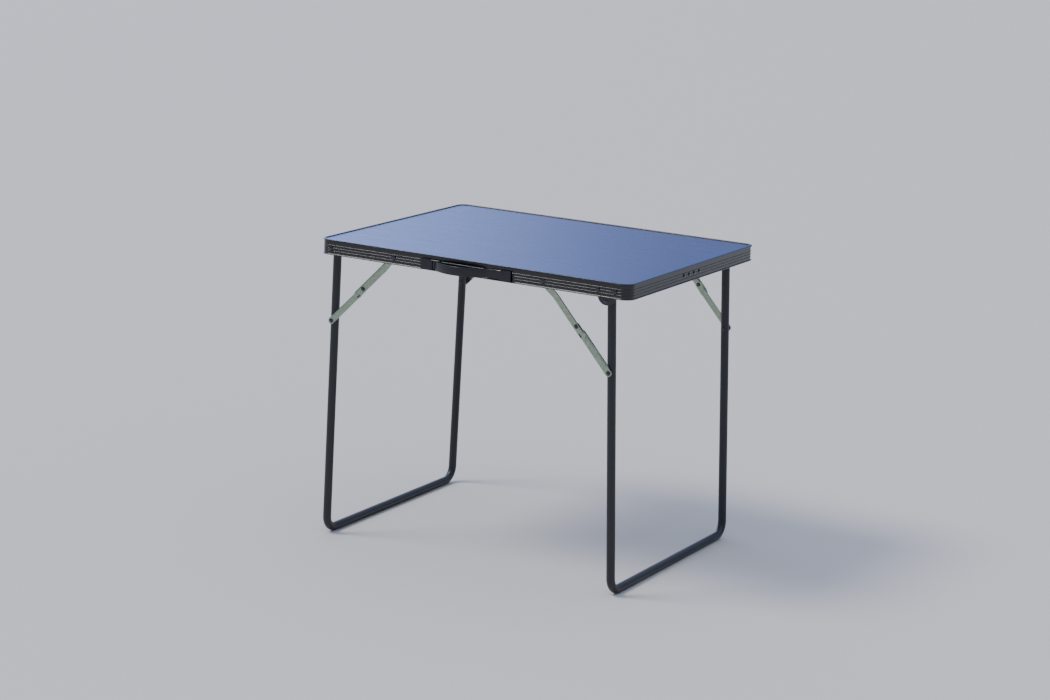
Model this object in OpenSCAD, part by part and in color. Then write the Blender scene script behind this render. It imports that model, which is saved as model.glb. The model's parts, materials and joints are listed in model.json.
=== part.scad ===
// Folding picnic table: a rimmed board on two U-shaped leg frames that swing
// up under the board, each held open by a pair of two-link folding braces.
// X runs along the table, Y across it (the carrying handle is at -Y), Z is up.
// The ground is Z = 0 and the origin is the centre of the whole footprint.

/* [Table top] */
// Length of the table top over the rail's lips
table_l = 800; // [780:10:1200]
// Depth of the table top over the rail's lips
table_w = 600; // [560:10:800]
// Height of the rim above the ground
table_h = 700; // [520:10:710]
// Thickness of the fibreboard core
core_t = 5; // [3:0.5:8]
// Thickness of the laminate bonded on the core
laminate_t = 0.8; // [0.5:0.1:1.5]

/* [Edge rail] */
// Height of the rail
rail_h = 35; // [35:1:50]
// Thickness of the rail's web
web_t = 1.6; // [1.2:0.1:2.5]
// Outer radius of the rail's corners
corner_r = 25; // [18:1:40]
// Width of the rounded top lip
lip_w = 6.5; // [5:0.5:10]
// How far the top lip stands above the laminate
lip_up = 1.8; // [0.5:0.1:3]
// How far both lips stand out from the web
lip_proud = 2.4; // [1.8:0.1:3]
// Number of ribs along the web
rib_n = 3; // [1:1:3]
// Depth of the first rib below the rim
rib_first = 13.5; // [10:0.5:15]
// Spacing of the ribs
rib_pitch = 6.3; // [5:0.1:7]
// How far the ribs stand out from the web
rib_proud = 0.9; // [0.4:0.1:1.2]
// Place of the rail's butt joint along the right side
joint_y = -14; // [-60:2:60]

/* [Leg frames] */
// Outer diameter of the leg tube
tube_d = 19; // [16:0.5:23]
// Wall of the leg tube
tube_wall = 1.2; // [0.8:0.1:2]
// Distance of each leg's axis from the centre line
leg_y = 270; // [230:5:370]
// Bend radius of the tube at the ground, to its axis
bend_r = 32; // [28:1:60]
// Distance of the left hinge from the table's left end
left_inset = 32; // [30:1:60]
// Distance of the right hinge from the table's right end
right_inset = 59; // [50:1:90]
// Outward splay of the left frame, in degrees
left_splay = 1.5; // [0:0.5:5]
// Outward splay of the right frame, in degrees
right_splay = 2.5; // [0:0.5:5]

/* [Braces] */
// Pivot to pivot length of each brace link
link_l = 122; // [100:1:135]
// Width of a brace link
link_w = 15.5; // [14:0.5:18]
// Sheet thickness of a brace link
link_t = 1.5; // [1:0.1:2]
// Depth of a brace link's folded edge
flange_d = 4; // [2:0.5:4]
// Length of the upper link past the middle pivot
tail_l = 32; // [26:1:40]

/* [Handle] */
// Place of the handle's middle along the front rail
handle_x = -8; // [-100:2:100]
// Overall length of the handle
handle_l = 231; // [180:1:280]
// Length of each end plate
plate_l = 50; // [40:1:60]
// Height of each end plate
plate_h = 23; // [20:0.5:24]
// Height of the grip strap
strap_h = 20; // [16:0.5:21]
// Thickness of the grip strap
strap_t = 3.2; // [2:0.1:3.4]
// How far the strap stands out from the rail's lips
handle_out = 28; // [20:1:40]
// Length of the strap's bow between its two roots
bow_l = 138; // [120:1:180]
// How far the strap has slid towards the left plate
strap_slide = 14; // [0:1:16]

/* [Hidden] */

$fn = 48;
left = -1;
right = 1;
front = -1;
back = 1;
eps = 1;                    // overshoot of a cutting shape

// clearances
seat_gap = 0.05;            // a rivet in a hole of its own body
run_gap = 0.08;             // a rivet in a hole that turns on it
slide_gap = 0.1;            // flat faces that slide past each other
turn_gap = 0.3;             // flat ends beside a round tube that turns
edge_gap = 0.2;             // board edge to rail, strap to plate

// rail section, by depth below the rim and distance in from the lips
lip_t = lip_up + laminate_t;
web_in = lip_proud + web_t;
rib_r = 1.2;
foot_r = 1.2;
ledge_in = 11;
ledge_t = 1.4;
ledge_drop = lip_t + core_t + slide_gap;
board_bottom = lip_t + core_t;
rail_in_y = table_w / 2 - web_in;
crest_in = lip_proud - rib_proud;
crest_y = table_w / 2 - crest_in;
seam_gap = 0.4;

// rivets
pin_r = 3;
big_head_r = 5.2;
big_head_h = 2.2;
small_pin_r = 2;
small_head_r = 3.8;
small_head_h = 1.5;
tail_h = 1.6;
anchor_drop = 19;           // brace anchors and bracket rivets below the rim
rivet_out = rib_proud + big_head_h - lip_proud;

// rail joiner plate
joiner_l = 110;
joiner_top = ledge_drop + ledge_t + 0.9;
joiner_low = rail_h - 7;
joiner_t = 1.5;
joiner_pitch = 24;
joiner_n = 4;

// leg tubes
tube_r = tube_d / 2;
tube_in_y = leg_y - tube_r;
tube_out_y = leg_y + tube_r;
tube_top = 7;               // top of the plug above the hinge
plug_flange = 1.5;
plug_stem = 1.6;
swing_gap = 0.6;            // tube end to board while it turns
stack_gap = 4;              // between the two folded frames
drop_left = board_bottom + swing_gap + norm([tube_top, tube_r]);
drop_right = drop_left + tube_d + stack_gap;
spacer_r = 6.5;

// right drop bracket
bracket_t = 2;
bracket_w = 62;
bracket_top = 10.8;         // plate's edges, below the rim
bracket_low = rail_h - 1;
bracket_rivet = 20.5;       // rivets each side of the hinge
lobe_r = 21;
lobe_rise = 12;             // centre of the lobe above the hinge

// brace layers, as distances from the table's long centre line
spacer_out_y = tube_out_y + flange_d + 0.4;
low_in_y = spacer_out_y + slide_gap;
low_out_y = low_in_y + link_t;
washer_t = 0.4;
up_in_y = low_out_y + slide_gap + washer_t;
up_out_y = up_in_y + link_t;
anchor_in_y = rail_in_y - edge_gap - link_t;
crank_from = 12;            // the upper link cranks outward between these
crank_to = 45;
tab_from = 16;              // stop tab, past the knee
tab_l = 10;
tab_t = 1.5;
notch_d = 0.9;
notch_play = 4;
dimple_r = 2.2;

// handle
plate_t = 5;
plate_wall = 1.4;
bevel = 1.6;
handle_drop = 21;
strap_drop = handle_drop + 0.5;
mouth_l = 20;               // open front of a plate, where the strap leaves it
neck_l = 6;                 // narrow way that holds the strap's stop in
neck_h = 12;
stop_h = 16;
stop_l = 7;
pocket_end = 13;            // solid part of a plate, round its rivets
root_r = 10;                // bend where the strap leaves a plate
root_turn = 55;
shoulder_r = 22;
root_steps = 8;
shoulder_steps = 6;
bow_steps = 20;
strap_mid = crest_y + edge_gap + strap_t / 2;
strap_rise = table_w / 2 + handle_out - strap_t / 2 - strap_mid;
half_span = bow_l / 2;
bends_l = (root_r + shoulder_r) * sin(root_turn);
bow_turn = 2 * atan((strap_rise - (root_r + shoulder_r) * (1 - cos(root_turn)))
    / (half_span - bends_l));
bow_r = (half_span - bends_l) / sin(bow_turn) + shoulder_r;
plate_in = handle_l / 2 - plate_l;
plate_out = handle_l / 2;
handle_rivet_at = [for (z = [-6, 6]) [plate_out - 7, z]];

// the front stands further out than the back, so the footprint's centre moves
front_shift = (handle_out - rivet_out) / 2;

// hinge place, splay and brace geometry of one side
function pivot_x(side) = table_l / 2 - (side == left ? left_inset : right_inset);
function drop(side) = side == left ? drop_left : drop_right;
function splay(side) = side == left ? left_splay : right_splay;
function leg_len(side) = (table_h - drop(side) - tube_r) / cos(splay(side));
function rise(side) = drop(side) - anchor_drop;
// equal distance of both brace anchors from the hinge: the straight brace
// spans the angle between them, found by repeated substitution
function reach(side, r = link_l * 1.3, n = 12) = n == 0 ? r
    : reach(side, link_l / sin((90 + splay(side) + asin(rise(side) / r)) / 2), n - 1);
function anchor(side) = [sqrt(pow(reach(side), 2) - pow(rise(side), 2)), rise(side)];
function brace_foot(side) = -reach(side) * [sin(splay(side)), cos(splay(side))];
function brace_turn(side) = let (d = brace_foot(side) - anchor(side)) atan2(-d[1], d[0]);

// placing helpers -----------------------------------------------------------
module place() { translate([0, front_shift, 0]) children(); }
module at_side(side) {
    place() translate([side * pivot_x(side), 0, table_h - drop(side)])
        mirror([side == right ? 1 : 0, 0, 0]) children();
}
module at_corner(side, end) {
    at_side(side) mirror([0, end == front ? 1 : 0, 0]) children();
}
module on_leg(side) { rotate([0, splay(side), 0]) children(); }
module on_brace(side, end) {
    at_corner(side, end) translate([anchor(side)[0], 0, anchor(side)[1]])
        rotate([0, brace_turn(side), 0]) children();
}
// flat sheet: a drawing in X and Z, between two distances in Y
module sheet(y0, y1) {
    translate([0, y1, 0]) rotate([90, 0, 0]) linear_extrude(y1 - y0) children();
}
module along_y(y) { translate([0, y, 0]) rotate([-90, 0, 0]) children(); }

// shared shapes ---------------------------------------------------------------
module dome(r, h) {
    ball = (r * r + h * h) / (2 * h);
    intersection() {
        translate([0, 0, h - ball]) sphere(ball);
        cylinder(r = r, h = h);
    }
}
// rivet from y_in to y_out with a domed head outside and a flat tail inside
module rivet(y_in, y_out, r, head_r, head_h) {
    along_y(y_in - tail_h) cylinder(r = r, h = y_out - y_in + tail_h);
    along_y(y_out) dome(head_r, head_h);
    along_y(y_in - tail_h) cylinder(r = r + 1.6, h = tail_h);
}
module bore(y_in, y_out, r) { along_y(y_in - eps) cylinder(r = r, h = y_out - y_in + 2 * eps); }
module collar(y_in, y_out, r_out, r_in) {
    difference() {
        along_y(y_in) cylinder(r = r_out, h = y_out - y_in);
        bore(y_in, y_out, r_in);
    }
}
module rounded_slab(inset, z0, z1) {
    r = corner_r - inset;
    x = table_l / 2 - corner_r;
    y = table_w / 2 - corner_r;
    translate([0, 0, z0]) linear_extrude(z1 - z0) {
        square([2 * (x + r), 2 * y], center = true);
        square([2 * x, 2 * (y + r)], center = true);
        for (sx = [-1, 1], sy = [-1, 1]) translate([sx * x, sy * y]) circle(r, $fn = 96);
    }
}

// table top -------------------------------------------------------------------
module board_core() {
    color("tan") place()
        rounded_slab(web_in + edge_gap, table_h - board_bottom, table_h - lip_t);
}
module top_laminate() {
    color("slategray") place()
        rounded_slab(lip_w + edge_gap, table_h - lip_t, table_h - lip_up);
}
// rail section: the outside of the lips at x = 0, the rim at y = 0
module rail_section() {
    translate([-web_in, -rail_h]) square([web_t, rail_h]);
    translate([-lip_w + lip_t / 2, -lip_t]) square([lip_w - lip_t, lip_t]);
    translate([-lip_w, -lip_t]) square([lip_t, lip_t / 2]);
    for (u = [lip_t / 2, lip_w - lip_t / 2]) translate([-u, -lip_t / 2]) circle(d = lip_t);
    translate([-ledge_in, -ledge_drop - ledge_t]) square([ledge_in - web_in + web_t / 2, ledge_t]);
    for (i = [0:rib_n - 1])
        translate([-crest_in - rib_r, -rib_first - i * rib_pitch]) circle(rib_r);
    translate([-foot_r, -rail_h + foot_r]) circle(foot_r);
    translate([-web_in, -rail_h]) square([web_in - foot_r, 2 * foot_r]);
}
module rail_ring() {
    for (i = [0:3]) {
        half = i % 2 == 0 ? table_l / 2 : table_w / 2;
        run = i % 2 == 0 ? table_w - 2 * corner_r : table_l - 2 * corner_r;
        rotate([0, 0, 90 * i]) translate([half, 0, 0]) rotate([90, 0, 0])
            linear_extrude(run, center = true) rail_section();
    }
    for (i = [0:3]) {
        sx = i == 0 || i == 3 ? 1 : -1;
        sy = i < 2 ? 1 : -1;
        translate([sx * (table_l / 2 - corner_r), sy * (table_w / 2 - corner_r), 0])
            rotate([0, 0, 90 * i]) rotate_extrude(angle = 90)
                translate([corner_r, 0]) rail_section();
    }
}
module joiner_places() {
    for (i = [0:joiner_n - 1])
        place() translate([table_l / 2, joint_y + (i - (joiner_n - 1) / 2) * joiner_pitch,
            table_h - anchor_drop]) rotate([0, 0, -90]) children();
}
module bracket_rivet_places(end) {
    at_corner(right, end) for (s = [-1, 1])
        translate([s * bracket_rivet, 0, rise(right)]) children();
}
module handle_rivet_places(list = [-1, 1]) {
    place() for (s = list, at = handle_rivet_at)
        translate([handle_x + s * at[0], 0, table_h - handle_drop + at[1]]) mirror([0, 1, 0]) children();
}
module edge_rail() {
    web_out_y = table_w / 2;
    color("#26282b") difference() {
        place() translate([0, 0, table_h]) rail_ring();
        place() translate([table_l / 2 - ledge_in - eps, joint_y - seam_gap / 2,
            table_h - rail_h - eps]) cube([ledge_in + 2 * eps, seam_gap, rail_h + 2 * eps]);
        joiner_places() bore(-web_in, 0, small_pin_r + seat_gap);
        handle_rivet_places() bore(rail_in_y, web_out_y, small_pin_r + seat_gap);
        for (end = [front, back]) {
            at_corner(left, end) bore(rail_in_y, web_out_y, pin_r + seat_gap);
            bracket_rivet_places(end) bore(rail_in_y, web_out_y, pin_r + seat_gap);
            for (side = [left, right]) on_brace(side, end)
                bore(rail_in_y, web_out_y, pin_r + seat_gap);
        }
    }
}
module rail_joiner() {
    color("silver") difference() {
        place() translate([table_l / 2 - web_in - joiner_t, joint_y - joiner_l / 2,
            table_h - joiner_low]) cube([joiner_t, joiner_l, joiner_low - joiner_top]);
        joiner_places() bore(-web_in - joiner_t, 0, small_pin_r + seat_gap);
    }
}
module joiner_rivets() {
    color("#1a1a1c") joiner_places()
        rivet(-web_in - joiner_t, -crest_in, small_pin_r, small_head_r, small_head_h);
}

// hinges ------------------------------------------------------------------------
module drop_bracket(end) {
    color("#1c1d20") difference() {
        at_corner(right, end) sheet(rail_in_y - bracket_t, rail_in_y) {
            translate([-bracket_w / 2, drop_right - bracket_low])
                square([bracket_w, bracket_low - bracket_top]);
            translate([0, lobe_rise]) circle(lobe_r, $fn = 96);
        }
        at_corner(right, end) bore(rail_in_y - bracket_t, rail_in_y, pin_r + seat_gap);
        bracket_rivet_places(end) bore(rail_in_y - bracket_t, rail_in_y, pin_r + seat_gap);
    }
}
module bracket_rivets() {
    color("#1a1a1c") for (end = [front, back]) bracket_rivet_places(end)
        rivet(rail_in_y - bracket_t, crest_y, pin_r, big_head_r, big_head_h);
}
module hinge_rivets(side) {
    head_y = side == left ? crest_y : rail_in_y;
    color("#1a1a1c") for (end = [front, back]) at_corner(side, end)
        rivet(tube_in_y - turn_gap, head_y, pin_r, big_head_r, big_head_h);
}
module hinge_spacers(side) {
    seat_y = rail_in_y - (side == left ? 0 : bracket_t);
    color("dimgray") for (end = [front, back]) at_corner(side, end)
        collar(tube_out_y + turn_gap, seat_y, spacer_r, pin_r + seat_gap);
}
module brace_anchor_rivets() {
    color("#1a1a1c") for (side = [left, right], end = [front, back]) on_brace(side, end)
        rivet(anchor_in_y - slide_gap, crest_y, pin_r, big_head_r, big_head_h);
}

// handle --------------------------------------------------------------------------
// one end plate, drawn to the right of the handle's middle, y outward
module plate_hollow(from, to, high) {
    translate([plate_in + from, crest_y - eps, handle_drop - strap_drop - high / 2 - edge_gap])
        cube([to - from, plate_t - plate_wall + eps, high + 2 * edge_gap]);
}
module plate_shape() {
    difference() {
        translate([plate_in, crest_y, -plate_h / 2]) cube([plate_l, plate_t, plate_h]);
        translate([plate_in - eps, crest_y + plate_t, plate_h / 2]) rotate([45, 0, 0])
            cube([plate_l + 2 * eps, 2 * bevel, 2 * bevel * sqrt(0.5)], center = true);
        translate([plate_out, crest_y + plate_t, 0]) rotate([0, 0, 45])
            cube([bevel, bevel, plate_h + 2 * eps], center = true);
        translate([plate_in - eps, crest_y - eps, handle_drop - strap_drop - strap_h / 2 - edge_gap])
            cube([mouth_l + eps, plate_t + 2 * eps, strap_h + 2 * edge_gap]);
        plate_hollow(mouth_l - eps, plate_l - pocket_end, neck_h);
        plate_hollow(mouth_l + neck_l, plate_l - pocket_end, stop_h);
        for (at = handle_rivet_at) translate([at[0], 0, at[1]])
            bore(crest_y, crest_y + plate_t - plate_wall - eps, small_pin_r + seat_gap);
    }
}
module handle_frame() {
    place() translate([handle_x, 0, table_h - handle_drop]) mirror([0, 1, 0]) children();
}
module handle_plate(s) {
    color("#17181d") handle_frame() mirror([s < 0 ? 1 : 0, 0, 0]) plate_shape();
}
// one face of the strap in plan, off from its middle line: root bend, shoulder, bow and back
function strap_at(x, y) = [x, strap_mid + y];
function strap_root(s, b, off) = strap_at(s * (half_span - (root_r - off) * sin(b)),
    root_r - (root_r - off) * cos(b));
function strap_shoulder(s, b, off) = strap_at(
    s * (half_span - bends_l + (shoulder_r + off) * sin(b)),
    root_r - (root_r + shoulder_r) * cos(root_turn) + (shoulder_r + off) * cos(b));
function strap_bow(b, off) = strap_at((bow_r + off) * sin(b), strap_rise - bow_r + (bow_r + off) * cos(b));
function strap_end(s, off) = concat(
    [for (i = [0:root_steps - 1]) strap_root(s, i * root_turn / root_steps, off)],
    [for (i = [0:shoulder_steps - 1])
        strap_shoulder(s, root_turn + (bow_turn - root_turn) * i / shoulder_steps, off)]);
function backwards(list) = [for (i = [len(list) - 1:-1:0]) list[i]];
function strap_face(off) = concat(strap_end(-1, off),
    [for (i = [-bow_steps:bow_steps]) strap_bow(i * bow_turn / bow_steps, off)],
    backwards(strap_end(1, off)));
// flat end of the strap in the plate on side s
module strap_tail(s) {
    root = half_span - s * strap_slide;
    mouth_end = plate_in + mouth_l;
    translate([-strap_slide, strap_mid, 0]) mirror([s < 0 ? 1 : 0, 0, 0]) translate([half_span, 0, 0]) {
        for (part = [[-1, mouth_end - root - 1, strap_h - 2 * edge_gap],
                [mouth_end - root - 2, mouth_end - root + neck_l + 1 + stop_l, neck_h],
                [mouth_end - root + neck_l + 1, mouth_end - root + neck_l + 1 + stop_l, stop_h]])
            if (part[1] > part[0] + 1) translate([part[0], -(strap_t - edge_gap) / 2, -part[2] / 2])
                cube([part[1] - part[0], strap_t - edge_gap, part[2]]);
    }
}
module handle_strap() {
    color("#17181d") handle_frame() translate([0, 0, handle_drop - strap_drop]) {
        translate([-strap_slide, 0, -strap_h / 2]) linear_extrude(strap_h)
            polygon(concat(strap_face(strap_t / 2), backwards(strap_face(-strap_t / 2))));
        for (s = [-1, 1]) strap_tail(s);
    }
}
module handle_rivets() {
    color("#1a1a1c") handle_rivet_places() {
        along_y(rail_in_y) cylinder(r = small_pin_r, h = crest_y - rail_in_y + 2);
        along_y(rail_in_y) mirror([0, 0, 1]) dome(small_head_r, small_head_h);
    }
}

// leg frames ------------------------------------------------------------------------
module u_tube(side, r, top) {
    straight = leg_len(side) - bend_r;
    for (e = [0, 1]) mirror([0, e, 0]) {
        translate([0, leg_y, -straight]) cylinder(r = r, h = straight + top);
        translate([0, leg_y - bend_r, -straight]) rotate([-90, 0, 90])
            rotate_extrude(angle = 90) translate([bend_r, 0]) circle(r);
    }
    translate([0, 0, -leg_len(side)]) rotate([90, 0, 0])
        cylinder(r = r, h = 2 * (leg_y - bend_r), center = true);
}
module leg_frame(side) {
    open_top = tube_top - plug_flange;
    color("#20262a") at_side(side) on_leg(side) difference() {
        u_tube(side, tube_r, open_top);
        u_tube(side, tube_r - tube_wall, open_top + eps);
        for (e = [0, 1]) mirror([0, e, 0]) {
            bore(tube_in_y, tube_out_y, pin_r + run_gap);
            translate([0, 0, -reach(side)]) bore(tube_in_y, tube_out_y, pin_r + seat_gap);
        }
    }
}
module tube_plugs(side) {
    color("black") at_side(side) on_leg(side) for (e = [0, 1]) mirror([0, e, 0])
        translate([0, leg_y, tube_top - plug_flange]) {
            cylinder(r = tube_r, h = plug_flange);
            translate([0, 0, -plug_stem]) cylinder(r = tube_r - tube_wall - edge_gap, h = plug_stem);
        }
}
module brace_spacers(side) {
    color("dimgray") for (end = [front, back]) at_corner(side, end) on_leg(side)
        translate([0, 0, -reach(side)]) collar(tube_out_y, spacer_out_y, spacer_r, pin_r + seat_gap);
}
module brace_rivets(side) {
    color("#1a1a1c") for (end = [front, back]) at_corner(side, end) on_leg(side)
        translate([0, 0, -reach(side)])
            rivet(tube_in_y, low_out_y + slide_gap, pin_r, big_head_r, big_head_h);
}

// braces: x runs from the rail anchor to the leg, z points away from the hinge -------
module strip(x0, x1) {
    translate([x0, -link_w / 2]) square([x1 - x0, link_w]);
    for (x = [x0, x1]) translate([x, 0]) circle(d = link_w, $fn = 64);
}
module upper_link(side, end) {
    last = link_l + tail_l - link_w / 2;
    rim_y = anchor_in_y + link_t;
    flange_y = min(up_out_y + flange_d, rim_y);
    // web line from the anchor, cranked inward to the layer beside the lower link
    line = [[-link_w, anchor_in_y], [crank_from, anchor_in_y], [crank_to, up_in_y],
        [last + link_w, up_in_y]];
    web = concat(line, [for (i = [3:-1:0]) line[i] + [0, link_t]]);
    edge = [[crank_from, anchor_in_y], [crank_to, up_in_y], [last - 4, up_in_y],
        [last, up_out_y], [last - 4, flange_y], [crank_to, flange_y], [crank_from, rim_y]];
    color("#9aa89a") on_brace(side, end) difference() {
        union() {
            intersection() {
                translate([0, 0, -link_w]) linear_extrude(2 * link_w) polygon(web);
                sheet(up_in_y - eps, rim_y + eps) {
                    strip(0, last);
                    translate([link_l + tab_from, 0])
                        square([tab_l, link_w / 2 - notch_d + slide_gap + tab_t]);
                }
            }
            translate([0, 0, -link_w / 2]) linear_extrude(link_t) polygon(edge);
            translate([link_l + tab_from, low_in_y - edge_gap, link_w / 2 - notch_d + slide_gap])
                cube([tab_l, up_out_y - low_in_y + edge_gap, tab_t]);
            translate([last - 2, 0, 0]) along_y(up_out_y - 0.2) dome(dimple_r, 1);
        }
        bore(anchor_in_y, rim_y, pin_r + run_gap);
        translate([link_l, 0, 0]) bore(up_in_y, up_out_y, pin_r + seat_gap);
    }
}
module lower_link(side, end) {
    color("#9aa89a") on_brace(side, end) difference() {
        union() {
            sheet(low_in_y, low_out_y) strip(link_l, 2 * link_l);
            translate([link_l + link_w, low_in_y - flange_d, -link_w / 2])
                cube([link_l - 2 * link_w, flange_d + link_t, link_t]);
        }
        translate([link_l + tab_from - slide_gap - edge_gap, low_in_y - eps, link_w / 2 - notch_d])
            cube([tab_l + notch_play, link_t + 2 * eps, notch_d + eps]);
        translate([link_l, 0, 0]) bore(low_in_y, low_out_y, pin_r + seat_gap);
        translate([2 * link_l, 0, 0]) bore(low_in_y, low_out_y, pin_r + run_gap);
    }
}
module at_knee(side, end) { on_brace(side, end) translate([link_l, 0, 0]) children(); }
// the knee rivet is two halves, one held in each link, that meet at the washer
module knee_rivet(side, end) {
    color("#1a1a1c") at_knee(side, end) {
        along_y(up_in_y) cylinder(r = pin_r, h = link_t);
        along_y(up_out_y) dome(big_head_r, big_head_h);
    }
}
module knee_washer(side, end) {
    color("silver") at_knee(side, end) along_y(up_in_y - washer_t) cylinder(r = 6, h = washer_t);
}
module knee_collar(side, end) {
    color("#1a1a1c") at_knee(side, end) {
        along_y(low_in_y - tail_h) cylinder(r = pin_r + 1.6, h = tail_h);
        along_y(low_in_y) cylinder(r = pin_r, h = link_t);
    }
}

board_core();
top_laminate();
edge_rail();
rail_joiner();
joiner_rivets();
drop_bracket(front);  // drop_bracket_front
drop_bracket(back);  // drop_bracket_rear
bracket_rivets();
hinge_rivets(left);  // left_hinge_rivets
hinge_rivets(right);  // right_hinge_rivets
hinge_spacers(left);  // left_hinge_spacers
hinge_spacers(right);  // right_hinge_spacers
brace_anchor_rivets();
handle_plate(left);  // handle_plate_left
handle_plate(right);  // handle_plate_right
handle_strap();
handle_rivets();
leg_frame(left);  // left_leg_frame
tube_plugs(left);  // left_tube_plugs
brace_spacers(left);  // left_brace_spacers
brace_rivets(left);  // left_brace_rivets
leg_frame(right);  // right_leg_frame
tube_plugs(right);  // right_tube_plugs
brace_spacers(right);  // right_brace_spacers
brace_rivets(right);  // right_brace_rivets
upper_link(left, front);  // upper_link_front_left
lower_link(left, front);  // lower_link_front_left
knee_rivet(left, front);  // knee_rivet_front_left
knee_washer(left, front);  // knee_washer_front_left
knee_collar(left, front);  // knee_collar_front_left
upper_link(left, back);  // upper_link_back_left
lower_link(left, back);  // lower_link_back_left
knee_rivet(left, back);  // knee_rivet_back_left
knee_washer(left, back);  // knee_washer_back_left
knee_collar(left, back);  // knee_collar_back_left
upper_link(right, front);  // upper_link_front_right
lower_link(right, front);  // lower_link_front_right
knee_rivet(right, front);  // knee_rivet_front_right
knee_washer(right, front);  // knee_washer_front_right
knee_collar(right, front);  // knee_collar_front_right
upper_link(right, back);  // upper_link_back_right
lower_link(right, back);  // lower_link_back_right
knee_rivet(right, back);  // knee_rivet_back_right
knee_washer(right, back);  // knee_washer_back_right
knee_collar(right, back);  // knee_collar_back_right
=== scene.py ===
import json
from math import atan2, cos, hypot, pi, radians, sin, sqrt

import bmesh
import bpy
from mathutils import Matrix, Vector


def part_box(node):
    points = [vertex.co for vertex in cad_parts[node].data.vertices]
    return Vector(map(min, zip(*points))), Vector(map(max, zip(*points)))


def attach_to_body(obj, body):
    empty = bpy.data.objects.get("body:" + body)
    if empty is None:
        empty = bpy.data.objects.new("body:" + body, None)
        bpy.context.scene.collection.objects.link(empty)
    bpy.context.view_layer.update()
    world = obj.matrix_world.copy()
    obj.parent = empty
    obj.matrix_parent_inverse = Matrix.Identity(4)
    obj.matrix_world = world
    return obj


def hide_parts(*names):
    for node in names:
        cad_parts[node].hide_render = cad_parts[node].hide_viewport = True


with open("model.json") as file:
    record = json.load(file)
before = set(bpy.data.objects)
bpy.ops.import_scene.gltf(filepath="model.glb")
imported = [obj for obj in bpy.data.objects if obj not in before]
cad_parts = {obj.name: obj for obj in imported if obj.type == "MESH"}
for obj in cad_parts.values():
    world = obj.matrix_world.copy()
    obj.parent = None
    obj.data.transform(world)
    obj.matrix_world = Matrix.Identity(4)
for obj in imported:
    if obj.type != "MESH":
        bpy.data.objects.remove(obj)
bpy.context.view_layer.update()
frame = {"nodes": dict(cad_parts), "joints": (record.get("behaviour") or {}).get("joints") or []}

mm = 0.001
joints = {j["name"]: j for j in frame["joints"]}
corners = [(end, side) for side in ("left", "right") for end in ("front", "back")]


# places taken from the frame
def nodeBox(name):
    lo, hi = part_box(name)
    return Vector(lo), Vector(hi)


railLo, railHi = nodeBox("edge_rail")
midY = (railLo.y + railHi.y) / 2
rimZ = railHi.z


def islands(nodeName):
    # boxes of the separate solids in a node
    bm = bmesh.new()
    bm.from_mesh(frame["nodes"][nodeName].data)
    bmesh.ops.remove_doubles(bm, verts=bm.verts, dist=1e-6)
    found, left = [], set(bm.verts)
    while left:
        group, edge = [], [left.pop()]
        while edge:
            v = edge.pop()
            group.append(v.co.copy())
            for e in v.link_edges:
                w = e.other_vert(v)
                if w in left:
                    left.remove(w)
                    edge.append(w)
        lo = Vector([min(c[i] for c in group) for i in range(3)])
        hi = Vector([max(c[i] for c in group) for i in range(3)])
        found.append((lo, hi))
    bm.free()
    return sorted(found, key=lambda b: tuple(round(x, 4) for x in b[0]))


# mesh helpers
def cleanMesh(mesh, merge=0.0):
    # merges doubles where asked and turns every face outwards
    bm = bmesh.new()
    bm.from_mesh(mesh)
    if merge:
        bmesh.ops.remove_doubles(bm, verts=bm.verts, dist=merge)
    bmesh.ops.recalc_face_normals(bm, faces=bm.faces)
    bm.to_mesh(mesh)
    bm.free()


def setPiece(name, mesh, material=None, smooth=None):
    if material:
        mesh.materials.clear()
        mesh.materials.append(material)
    piece = bpy.data.objects.new(name, mesh)
    bpy.context.scene.collection.objects.link(piece)
    if smooth:
        shade(piece, smooth)
    return piece


def newPiece(name, verts, faces, material, smooth=40):
    mesh = bpy.data.meshes.new(name)
    mesh.from_pydata([tuple(v) for v in verts], [], faces)
    mesh.validate()
    cleanMesh(mesh, 1e-7)
    return setPiece(name, mesh, material, smooth)


def shade(piece, angle):
    mesh = piece.data
    mesh.shade_smooth()
    mesh.set_sharp_from_angle(angle=radians(angle))


def soften(piece, width, steps=2, angle=40):
    mod = piece.modifiers.new("softEdge", "BEVEL")
    mod.width = width
    mod.segments = steps
    mod.limit_method = "ANGLE"
    mod.angle_limit = radians(angle)
    mod.harden_normals = False


def lathe(profile, steps=32):
    # vertices and faces of a profile of (radius, height) turned about z
    verts, faces, ring = [], [], []
    for r, z in profile:
        if r < 1e-7:
            ring.append([len(verts)] * steps)
            verts.append((0, 0, z))
        else:
            ring.append(list(range(len(verts), len(verts) + steps)))
            turns = [2 * pi * i / steps for i in range(steps)]
            verts += [(r * cos(a), r * sin(a), z) for a in turns]
    for a, b in zip(ring, ring[1:] + ring[:1]):
        for i in range(steps):
            j = (i + 1) % steps
            face = []
            for v in (a[i], a[j], b[j], b[i]):
                if v not in face:
                    face.append(v)
            if len(face) > 2:
                faces.append(face)
    return verts, faces


def arc(cx, cy, r, a0, a1, steps):
    return [(cx + r * cos(radians(a0 + (a1 - a0) * i / steps)),
             cy + r * sin(radians(a0 + (a1 - a0) * i / steps))) for i in range(steps + 1)]


def attach(piece, body, slotName, *nodes):
    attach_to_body(piece, body)
    if nodes:
        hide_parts(*nodes)
    return piece


def fill(tree, node, values):
    # links sockets, sets plain values
    for key, value in (values or {}).items():
        if isinstance(value, bpy.types.NodeSocket):
            tree.links.new(value, node.inputs[key])
        else:
            node.inputs[key].default_value = value
    return node


def addNode(tree, kind, values=None, **settings):
    node = tree.nodes.new(kind)
    for key, value in settings.items():
        setattr(node, key, value)
    return fill(tree, node, values)


print("helpers ready")

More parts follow.
